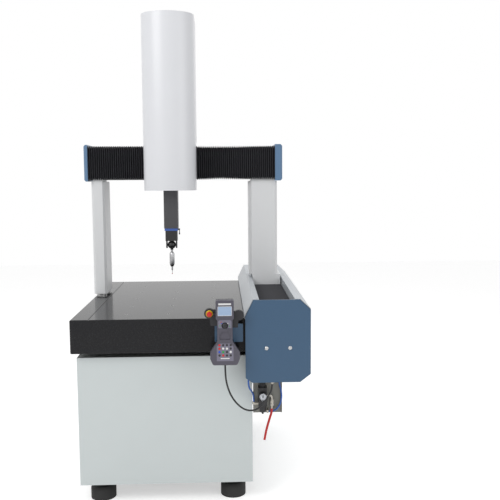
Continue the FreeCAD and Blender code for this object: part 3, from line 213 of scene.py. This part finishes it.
# ---------------------------------------------------------------------------
# Guide cover: two folded sheet covers between blue end plates over the Y
# guide, with a pleated cloth bellows in the slot that the bridge runs in.
# ---------------------------------------------------------------------------
def pleated_cloth():
    """Coated black cloth: a painted highlight on the fold ridges and painted shade in the valleys,
    read from the piece's own attribute.
    """
    material, shader, make, join = new_material("bellows cloth")
    painted_fold_shade = make("ShaderNodeAttribute")
    painted_fold_shade.attribute_name = "painted_fold_shade"
    weave = make("ShaderNodeTexNoise")
    place = make("ShaderNodeTexCoord")
    weave.inputs["Scale"].default_value = 1500.0
    join(place.outputs["Object"], weave.inputs["Vector"])
    # Painted light: the fold attribute lifts the ridges to a paler painted highlight and leaves the
    # valleys in near-black painted shade.
    tone = make("ShaderNodeMix")
    tone.data_type = "RGBA"
    tone.inputs["A"].default_value = (0.006, 0.006, 0.008, 1)
    tone.inputs["B"].default_value = (0.045, 0.045, 0.052, 1)
    join(painted_fold_shade.outputs["Fac"], tone.inputs["Factor"])
    join(tone.outputs["Result"], shader.inputs["Base Color"])
    relief = make("ShaderNodeBump")
    relief.inputs["Distance"].default_value = 0.0001
    relief.inputs["Strength"].default_value = 0.5
    join(weave.outputs["Fac"], relief.inputs["Height"])
    join(relief.outputs["Normal"], shader.inputs["Normal"])
    shader.inputs["Roughness"].default_value = 0.6
    return material


cloth = pleated_cloth()


def mesh_piece(name, points, faces, material, body=None):
    """A mesh object at the origin from an array of points and faces, riding a body."""
    mesh = bpy.data.meshes.new(name)
    mesh.from_pydata(np.asarray(points, float).tolist(), [], [list(f) for f in faces])
    mesh.polygons.foreach_set("use_smooth", [True] * len(mesh.polygons))
    mesh.materials.append(material)
    obj = bpy.data.objects.new(name, mesh)
    bpy.context.scene.collection.objects.link(obj)
    if body:
        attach(obj, body)
    return obj


def grid_faces(rows, columns, around=False):
    """Quads of a grid of points, row by row; around joins the last column to the first."""
    r = np.arange(rows - 1)[:, None]
    c = np.arange(columns if around else columns - 1)[None, :]
    n = (c + 1) % columns
    quads = [r * columns + c, r * columns + n, (r + 1) * columns + n, (r + 1) * columns + c]
    return np.stack(quads, -1).reshape(-1, 4)


def recalculate(obj):
    """Turns every face of a closed mesh outwards."""
    work = bmesh.new()
    work.from_mesh(obj.data)
    bmesh.ops.recalc_face_normals(work, faces=work.faces)
    work.to_mesh(obj.data)
    work.free()


def bellows(node, axis, pitch, depth, a, b, start, end):
    """Zigzag folds: the box of the CAD bellows as a loop, shrunk by the fold depth at each valley.
    The shrink is depth times a triangle wave of the distance along the axis."""
    low, high = (np.array(c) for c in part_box(node))
    u, v = [i for i in range(3) if i != axis]
    folds = max(4, round((high[axis] - low[axis]) / pitch))
    steps = folds * 4 + 1
    t = np.linspace(0, folds, steps)
    wave = np.abs(2 * (t - np.floor(t + 0.5)))
    shrink = depth * wave
    mid, half = (low + high) / 2, (high - low) / 2
    corners = np.array([(-1, -1), (1, -1), (1, 1), (-1, 1)], float)
    ring = np.zeros((steps, 4, 3))
    ring[:, :, axis] = (low[axis] + (high[axis] - low[axis]) * t / folds)[:, None]
    ring[:, :, u] = mid[u] + corners[None, :, 0] * (half[u] - shrink[:, None])
    ring[:, :, v] = mid[v] + corners[None, :, 1] * (half[v] - shrink[:, None])
    faces = grid_faces(steps, 4, True).tolist()
    last = (steps - 1) * 4
    faces += [[3, 2, 1, 0], [last, last + 1, last + 2, last + 3]]
    obj = mesh_piece(node + "_cloth", ring.reshape(-1, 3), faces, cloth)
    obj.data.polygons.foreach_set("use_smooth", [False] * len(obj.data.polygons))
    # Fold attribute for painted light: 1 on the ridges (painted highlight), 0 in the valleys (painted
    # shade).
    painted_fold_shade = obj.data.attributes.new("painted_fold_shade", "FLOAT", "POINT")
    painted_fold_shade.data.foreach_set("value", np.repeat(1 - wave, 4).astype(np.float32))
    recalculate(obj)
    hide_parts(node)
    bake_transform(obj)
    return obj


cover_paint = coated("guide cover paint", (0.50, 0.53, 0.56), 0.36, 0.05)
blue_paint = coated("end plate blue paint", (0.045, 0.105, 0.19), 0.36, 0.06)
bare_aluminium = coated("anodised aluminium", (0.6, 0.6, 0.61), 0.35, 0.08, 600.0, 0.00001, 0.9)
dress(cover_paint, "cover_left", "cover_right")
dress(blue_paint, "end_plate_front", "end_plate_rear", "pendant_bracket")
dress(bare_aluminium, "y_guide_beam", "bridge_saddle", "x_beam", "x_carriage",
      "counterbalance_cylinder")
for side in ("front", "rear"):
    low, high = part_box("y_bellows_" + side)
    near, far = ((0, low.y, 0), (0, high.y, 0))
    bodies = ("base", "bridge") if side == "front" else ("bridge", "base")
    bellows("y_bellows_" + side, 1, 0.014, 0.012, *bodies, near, far)


# ---------------------------------------------------------------------------
# Bridge: a narrow and a wide sheet-covered leg carry the cross beam, which
# hides inside two pleated bellows between blue end caps.
# ---------------------------------------------------------------------------
leg_paint = coated("leg paint", (0.76, 0.77, 0.78), 0.38, 0.04)
cap_blue = coated("beam cap blue paint", (0.115, 0.215, 0.36), 0.34, 0.05)
dress(leg_paint, "left_leg", "right_leg")
dress(cap_blue, "cap_left", "cap_right")
dress(coated("motor black", (0.02, 0.02, 0.02), 0.45, 0.1), "y_motor", "x_motor")
smooth(35, "y_motor", "x_motor")
bellows("x_bellows_left", 0, 0.0115, 0.012, "bridge", "carriage", (-0.575, 0, 0), (-0.145, 0, 0))
bellows("x_bellows_right", 0, 0.0115, 0.012, "carriage", "bridge", (-0.055, 0, 0), (0.480, 0, 0))


# ---------------------------------------------------------------------------
# Z column: a tall two-part sheet cover with a bowed front, over the ram.
# The real one's printed names are left off and its front stays bare.
# ---------------------------------------------------------------------------
column_white = coated("column white paint", (0.80, 0.81, 0.84), 0.3, 0.03)
dress(column_white, "z_cover_front", "z_cover_back")
smooth(30, "z_cover_front", "counterbalance_cylinder")


# ---------------------------------------------------------------------------
# Ram and probe head: a dark square ram with a blue end ring, a black motor
# head, a tilting knuckle, a turned steel probe and a stylus with a ruby ball.
# ---------------------------------------------------------------------------
def ball(name, middle, radius, material, body):
    """A sphere: two angles give each point, with its poles closed by one point each."""
    rings, spokes = 16, 28
    t = np.linspace(0, math.pi, rings + 2)[1:-1, None]
    p = np.linspace(0, 2 * math.pi, spokes, endpoint=False)[None, :]
    unit = np.stack([np.sin(t) * np.cos(p), np.sin(t) * np.sin(p), np.cos(t) + 0 * p], -1)
    points = np.vstack([unit.reshape(-1, 3), [[0, 0, 1], [0, 0, -1]]])
    points = points * radius + np.array(middle)
    faces = grid_faces(rings, spokes, True).tolist()
    top, last = rings * spokes, (rings - 1) * spokes
    for i in range(spokes):
        ahead = (i + 1) % spokes
        faces.append([top, i, ahead])
        faces.append([top + 1, last + ahead, last + i])
    obj = mesh_piece(name, points, faces, material, body)
    recalculate(obj)
    return obj


def turned(name, profile, origin, axis, material, body, count=32):
    """A turned piece: each (radius, height) of the profile swept round the axis, ends closed."""
    profile = np.array(profile, float)
    a = np.linspace(0, 2 * math.pi, count, endpoint=False)
    way = np.array(axis, float) / np.linalg.norm(axis)
    side = np.cross(way, (0, 0, 1) if abs(way[2]) < 0.9 else (1, 0, 0))
    side /= np.linalg.norm(side)
    other = np.cross(way, side)
    spokes = np.cos(a)[:, None] * side + np.sin(a)[:, None] * other
    points = (np.array(origin) + profile[:, 1, None, None] * way
              + profile[:, 0, None, None] * spokes[None])
    faces = grid_faces(len(profile), count, True).tolist()
    faces.append(list(range(count)))
    faces.append(list(range((len(profile) - 1) * count, len(profile) * count)))
    obj = mesh_piece(name, points.reshape(-1, 3), faces, material)
    recalculate(obj)
    split = obj.modifiers.new("sharp edges", "EDGE_SPLIT")
    split.split_angle = math.radians(35)
    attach(obj, body)
    return obj


ring_blue = coated("ring blue", (0.05, 0.12, 0.42), 0.3, 0.05)
head_black = coated("probe head black", (0.014, 0.014, 0.015), 0.35, 0.1, 1200.0)
probe_steel = coated("turned probe steel", (0.42, 0.42, 0.43), 0.32, 0.1, 700.0, 0.00001, 1.0)
ruby = coated("ruby", (0.45, 0.01, 0.02), 0.12, 0.02)
dress(coated("ram dark anodised", (0.075, 0.075, 0.08), 0.38, 0.08, 700.0, 0.00001, 0.5), "ram")
dress(ring_blue, "ram_ring")
dress(head_black, "head_body", "head_knuckle")
dress(probe_steel, "probe", "stylus")
smooth(35, "head_body", "head_knuckle", "probe", "stylus")
ring_low, ring_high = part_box("ram_ring")
tip_low, tip_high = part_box("stylus")
ball_radius = 0.0027
tip_middle = ((tip_low.x + tip_high.x) / 2, (tip_low.y + tip_high.y) / 2, tip_low.z + 0.0025)
ball("stylus_ball", tip_middle, ball_radius, ruby, "tip")
ring_z = (ring_low.z + ring_high.z) / 2
turned("clamp_lever_hub", [(0.004, 0), (0.004, 0.010), (0.003, 0.012)],
       (ring_high.x - 0.002, 0.02, ring_z), (1, 0, 0), head_black, "ram", 20)
turned("clamp_lever", [(0.0022, 0), (0.0022, 0.018), (0.0034, 0.022), (0.0034, 0.028)],
       (ring_high.x + 0.007, 0.02, ring_z), (0, -0.25, -1), head_black, "ram", 20)


# ---------------------------------------------------------------------------
# Pendant: a moulded two-half control box with a display, a joystick under a
# rubber boot, a keypad, an emergency stop on a yellow collar and a dial.
# ---------------------------------------------------------------------------
def window_glow():
    """The lit display: pale blue with fine rows on a glossy window."""
    material, shader, make, join = new_material("display window")
    place = make("ShaderNodeTexCoord")
    rows = make("ShaderNodeTexWave")
    rows.bands_direction = "Z"
    rows.inputs["Scale"].default_value = 60.0
    rows.inputs["Distortion"].default_value = 1.0
    join(place.outputs["Object"], rows.inputs["Vector"])
    tone = make("ShaderNodeMix")
    tone.data_type = "RGBA"
    tone.inputs["A"].default_value = (0.30, 0.42, 0.62, 1)
    tone.inputs["B"].default_value = (0.45, 0.58, 0.78, 1)
    join(rows.outputs["Fac"], tone.inputs["Factor"])
    join(tone.outputs["Result"], shader.inputs["Base Color"])
    shader.inputs["Roughness"].default_value = 0.18
    return material


def plate(name, x0, x1, z0, z1, y, thickness, material, body, corner=0.0015):
    """A thin plate facing the operator: a rounded rectangle of four arcs, carried back."""
    a = np.linspace(0, math.pi / 2, 5)
    arcs = []
    for k, (cx, cz) in enumerate([(x1 - corner, z1 - corner), (x0 + corner, z1 - corner),
                                  (x0 + corner, z0 + corner), (x1 - corner, z0 + corner)]):
        arcs.append(np.stack([cx + corner * np.cos(a + k * math.pi / 2),
                              cz + corner * np.sin(a + k * math.pi / 2)], -1))
    outline = np.vstack(arcs)
    n = len(outline)
    front = np.stack([outline[:, 0], np.full(n, y), outline[:, 1]], -1)
    points = np.vstack([front, front + (0, thickness, 0)])
    faces = grid_faces(2, n, True).tolist() + [list(range(n)), list(range(n, 2 * n))]
    obj = mesh_piece(name, points, faces, material)
    obj.data.polygons.foreach_set("use_smooth", [False] * len(obj.data.polygons))
    recalculate(obj)
    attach(obj, body)
    return obj


moulded_grey = coated("pendant grey moulding", (0.085, 0.08, 0.105), 0.5, 0.1, 1500.0, 0.00006)
moulded_black = coated("pendant black moulding", (0.013, 0.013, 0.016), 0.5, 0.1, 1500.0, 0.00006)
foil = coated("keypad foil", (0.20, 0.19, 0.25), 0.42, 0.05, 1300.0)
lamp_colours = {
    "red": (0.6, 0.015, 0.015), "blue": (0.02, 0.08, 0.55), "green": (0.02, 0.33, 0.06),
    "white": (0.8, 0.8, 0.8), "dark": (0.02, 0.02, 0.025)}
lamp = {name: coated(name + " key", colour, 0.35, 0.03) for name, colour in lamp_colours.items()}
brass = coated("brass", (0.55, 0.38, 0.12), 0.3, 0.1, 700.0, 0.00001, 1.0)
dress(moulded_grey, "pendant_front")
dress(moulded_black, "pendant_back", "joystick", "speed_dial")
dress(window_glow(), "pendant_screen")
dress(foil, "pendant_keypad")
dress(coated("yellow collar", (0.75, 0.50, 0.01), 0.3, 0.03), "estop_collar")
dress(coated("stop button red", (0.55, 0.012, 0.01), 0.28, 0.03), "estop_button")
smooth(35, "joystick", "speed_dial", "estop_collar", "estop_button")
pad_low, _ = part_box("pendant_keypad")
screen_low, screen_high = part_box("pendant_screen")
middle = (screen_low.x + screen_high.x) / 2
face = pad_low.y - 0.0003
top = screen_high.z
white = lamp["white"]
line, trim = 0.0015, 0.0006
for name, z0 in (("screen_frame_top", top - line), ("screen_frame_low", screen_low.z)):
    plate(name, middle - 0.031, middle + 0.031, z0, z0 + line, screen_low.y - 0.0004, trim, white,
          "pendant", 0.0005)
for name, side in (("screen_frame_left", -1), ("screen_frame_right", 1)):
    x = middle + side * 0.0302
    plate(name, x - 0.0008, x + 0.0008, screen_low.z, top, screen_low.y - 0.0004, trim, white,
          "pendant", 0.0005)
plate("bare_name_strip", middle - 0.028, middle + 0.028, top + 0.006, top + 0.014, face, trim,
      white, "pendant")
pendant_top, first_key_drop, stick_drop = 0.990, 0.200, 0.113
keys = [["red", "dark", "dark", "dark"], ["red", "white", "white", "dark"],
        ["blue", "green", "dark", "white"], ["dark", "red", "dark", "dark"]]
key_pitch_x, key_pitch_z = 0.0165, 0.0155
first_key_z = pendant_top - first_key_drop
for row, colours in enumerate(keys):
    for column, colour in enumerate(colours):
        at = (middle + (column - 1.5) * key_pitch_x, face + 0.0005,
              first_key_z - row * key_pitch_z)
        turned(f"key_{row}_{column}", [(0.0052, 0), (0.0052, 0.0008), (0.0046, 0.0013)],
               at, (0, -1, 0), lamp[colour], "pendant", 18)
plate("keypad_bar", middle - 0.02, middle + 0.02, first_key_z - 0.0625, first_key_z - 0.058, face,
      trim, white, "pendant")
for k, (dx, dz, colour) in enumerate([(-0.0165, 0.0165, "red"), (-0.0135, 0.0105, "blue"),
                                      (-0.0218, -0.0005, "green"), (0.021, -0.0025, "green"),
                                      (0.0135, 0.0105, "white")]):
    at = (middle + dx, face + 0.0005, pendant_top - stick_drop + dz)
    turned(f"panel_lamp_{k}", [(0.0022, 0), (0.0022, 0.0008), (0.0015, 0.0012)], at, (0, -1, 0),
           lamp[colour], "pendant", 14)


# ---------------------------------------------------------------------------
# Air unit: a zinc-plated panel under the cover with a black regulator, its
# gauge, filter bowl, plated elbow and quick coupler.
# ---------------------------------------------------------------------------
black_plastic = coated("regulator black moulding", (0.015, 0.015, 0.017), 0.42, 0.12, 1200.0, 0.00004)
plated = coated("nickel plating", (0.38, 0.36, 0.32), 0.3, 0.12, 500.0, 0.00001, 1.0)
dress(coated("zinc panel", (0.22, 0.22, 0.20), 0.45, 0.25, 40.0, 0.00003, 0.4), "air_panel")
dress(black_plastic, "air_regulator", "filter_bowl", "regulator_knob", "pressure_gauge")
dress(plated, "hose_fittings")
dress(coated("needle black", (0.01, 0.01, 0.01), 0.4), "gauge_needle")
smooth(35, "filter_bowl", "regulator_knob", "pressure_gauge", "hose_fittings")
glass, glass_shader, make, join = new_material("gauge glass")
glass_shader.inputs["Base Color"].default_value = (0.95, 0.97, 1.0, 1)
glass_shader.inputs["Transmission Weight"].default_value = 1.0
glass_shader.inputs["IOR"].default_value = 1.05
dust = make("ShaderNodeTexNoise")
dust.inputs["Scale"].default_value = 90.0
dust_range = make("ShaderNodeMapRange")
dust_range.inputs["To Min"].default_value = 0.0
dust_range.inputs["To Max"].default_value = 0.06
join(dust.outputs["Fac"], dust_range.inputs["Value"])
join(dust_range.outputs["Result"], glass_shader.inputs["Roughness"])
dress(glass, "gauge_lens")
gauge_low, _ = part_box("pressure_gauge")
lens_low, lens_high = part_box("gauge_lens")
gauge_x = (lens_low.x + lens_high.x) / 2
gauge_z = (lens_low.z + lens_high.z) / 2
dial_y = gauge_low.y + 0.0095
turned("gauge_dial_face", [(0.0165, 0), (0.0165, 0.0002)], (gauge_x, dial_y, gauge_z), (0, -1, 0),
       white, "base", 40)
for k in range(11):
    angle = math.radians(225 - 27 * k)
    x, z = gauge_x + 0.0138 * math.cos(angle), gauge_z + 0.0138 * math.sin(angle)
    turned(f"gauge_tick_{k}", [(0.0007, 0), (0.0007, 0.0002)], (x, dial_y - 0.0003, z), (0, -1, 0),
           lamp["dark"], "base", 8)


# ---------------------------------------------------------------------------
# Cords: the pendant's round black cable, a red rubber air hose with a bare
# end, and two blue plastic air tubes.  Each follows listed points.
# ---------------------------------------------------------------------------
route_start = (0.266, -0.562, 0.597)


def route(name, offsets, radius, material):
    """A round cord as a clamped quadratic NURBS curve through listed control points."""
    line = bpy.data.curves.new(name, "CURVE")
    line.dimensions = "3D"
    spline = line.splines.new("NURBS")
    spline.points.add(len(offsets) - 1)
    for point, offset in zip(spline.points, offsets):
        point.co = (*(start + step / 1000 for start, step in zip(route_start, offset)), 1)
    spline.order_u = 3
    spline.use_endpoint_u = True
    spline.resolution_u = 16
    line.bevel_depth = radius
    line.bevel_resolution = 5
    line.use_fill_caps = True
    line.materials.append(material)
    obj = bpy.data.objects.new(name, line)
    bpy.context.scene.collection.objects.link(obj)
    return obj


def followed(obj):
    """The points that a route's bare curve passes, and its length."""
    bevel = obj.data.bevel_depth
    obj.data.bevel_depth = 0
    bare = bpy.data.meshes.new_from_object(
        obj.evaluated_get(bpy.context.evaluated_depsgraph_get()))
    points = np.array([v.co for v in bare.vertices], float)
    obj.data.bevel_depth = bevel
    return points, float(np.linalg.norm(np.diff(points, axis=0), axis=1).sum())


cable_black = coated("cable black", (0.012, 0.012, 0.013), 0.5, 0.1, 800.0)
red_rubber = coated("red rubber hose", (0.50, 0.012, 0.012), 0.42, 0.08, 500.0)
blue_tube = coated("blue air tube", (0.03, 0.12, 0.45), 0.28, 0.05, 300.0)
cable_route = [
    (-90, -78, 93), (-90, -78, 53), (-84, -80, 5), (-66, -83, -46), (-35, -84, -89),
    (3, -80, -117), (47, -70, -120), (82, -54, -98), (106, -38, -65), (124, -26, -37),
    (124, -26, -11)]
red_route = [
    (125, 17, -141), (125, 17, -159), (116, 16, -185), (106, 17, -219), (96.5, 15, -255),
    (90.5, 16, -291)]
blue_left_route = [
    (15, -32, 15), (15, -32, -5), (19, -22, -30), (28, -1, -49), (38, 19, -68), (42, 29, -91),
    (42, 29, -111)]
blue_right_route = [
    (161, 31, -10), (161, 31, -27), (168, 30, -52), (172.5, 31, -79), (171, 32, -107),
    (162, 31, -134), (144, 30, -154), (125, 31, -159), (110, 31, -159)]
for node, offsets, diameter, material, slot_name, far_end in (
        ("red_hose", red_route, 0.011, red_rubber, "red_rubber", "bare"),
        ("blue_hose_left", blue_left_route, 0.008, blue_tube, "blue_tube", "object"),
        ("blue_hose_right", blue_right_route, 0.008, blue_tube, "blue_tube", "object")):
    cord = route(node + "_cord", offsets, diameter / 2, material)
    points, length = followed(cord)
    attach(cord, "base")
    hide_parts(node)

cable_curve = route("pendant_cable_line", cable_route, 0.004, cable_black)
points, length = followed(cable_curve)
tube_mesh = bpy.data.meshes.new_from_object(
    cable_curve.evaluated_get(bpy.context.evaluated_depsgraph_get()))
bpy.data.objects.remove(cable_curve)
cable = bpy.data.objects.new("pendant_cable_cord", tube_mesh)
bpy.context.scene.collection.objects.link(cable)
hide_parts("pendant_cable")
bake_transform(cable)


# ---------------------------------------------------------------------------
# Room: a plain pale floor, soft lamps and the camera at the operator's place.
# ---------------------------------------------------------------------------
def backdrop(name, colour):
    """A plain pale surface that the camera, gloss and glass see as white."""
    material, shader, make, join = new_material(name)
    shader.inputs["Base Color"].default_value = (*colour, 1)
    shader.inputs["Roughness"].default_value = 0.9
    shader.inputs["Emission Color"].default_value = (1, 1, 1, 1)
    rays = make("ShaderNodeLightPath")
    seen = make("ShaderNodeMath")
    seen.operation = "MAXIMUM"
    join(rays.outputs["Is Camera Ray"], seen.inputs[0])
    join(rays.outputs["Is Glossy Ray"], seen.inputs[1])
    glow = make("ShaderNodeMath")
    glow.operation = "MULTIPLY"
    glow.inputs[1].default_value = 0.5
    join(seen.outputs[0], glow.inputs[0])
    join(glow.outputs[0], shader.inputs["Emission Strength"])
    return material


floor_mesh = bpy.data.meshes.new("floor")
floor_mesh.from_pydata([(-9, -9, 0), (9, -9, 0), (9, 9, 0), (-9, 9, 0)], [], [(0, 1, 2, 3)])
floor_mesh.materials.append(backdrop("pale floor", (0.86, 0.86, 0.86)))
floor = bpy.data.objects.new("floor", floor_mesh)
bpy.context.scene.collection.objects.link(floor)


def lamp_at(name, place, target, size, power):
    """A square soft lamp turned from its place to a point."""
    data = bpy.data.lights.new(name, "AREA")
    data.size = size
    data.energy = power
    obj = bpy.data.objects.new(name, data)
    obj.location = place
    way = Vector(target) - obj.location
    obj.rotation_euler = way.to_track_quat("-Z", "Y").to_euler()
    bpy.context.scene.collection.objects.link(obj)
    return obj


lamp_at("key_lamp", (-2.6, -3.2, 3.6), (0, 0, 1.1), 2.2, 78)
lamp_at("fill_lamp", (3.2, -2.6, 2.4), (0, 0, 1.0), 2.4, 26)
lamp_at("top_lamp", (0.2, 1.2, 4.2), (0, 0, 1.0), 2.6, 42)

world = bpy.data.worlds.new("white room")
world.use_nodes = True
tree = world.node_tree
background = tree.nodes["Background"]
background.inputs["Color"].default_value = (1, 1, 1, 1)
rays = tree.nodes.new("ShaderNodeLightPath")
seen = tree.nodes.new("ShaderNodeMath")
seen.operation = "MAXIMUM"
tree.links.new(rays.outputs["Is Camera Ray"], seen.inputs[0])
either = tree.nodes.new("ShaderNodeMath")
either.operation = "MAXIMUM"
tree.links.new(rays.outputs["Is Transmission Ray"], either.inputs[0])
tree.links.new(rays.outputs["Is Glossy Ray"], either.inputs[1])
tree.links.new(either.outputs[0], seen.inputs[1])
strength = tree.nodes.new("ShaderNodeMapRange")
strength.inputs["To Min"].default_value = 0.5
strength.inputs["To Max"].default_value = 1.0
tree.links.new(seen.outputs[0], strength.inputs["Value"])
tree.links.new(strength.outputs["Result"], background.inputs["Strength"])
bpy.context.scene.world = world

camera_data = bpy.data.cameras.new("camera")
camera_data.sensor_width = 36.0
camera_data.lens = 50.4
look_right, look_down, lean = 2.3, 5.72, 0.36
camera = bpy.data.objects.new("camera", camera_data)
bpy.context.scene.collection.objects.link(camera)
camera.location = (0.167, -3.712, 1.516)
turn = (Matrix.Rotation(math.radians(-look_right), 3, "Z")
        @ Matrix.Rotation(math.radians(90 - look_down), 3, "X")
        @ Matrix.Rotation(math.radians(-lean), 3, "Z"))
camera.rotation_euler = turn.to_euler()
bpy.context.scene.camera = camera
bpy.context.scene.view_settings.view_transform = "Standard"
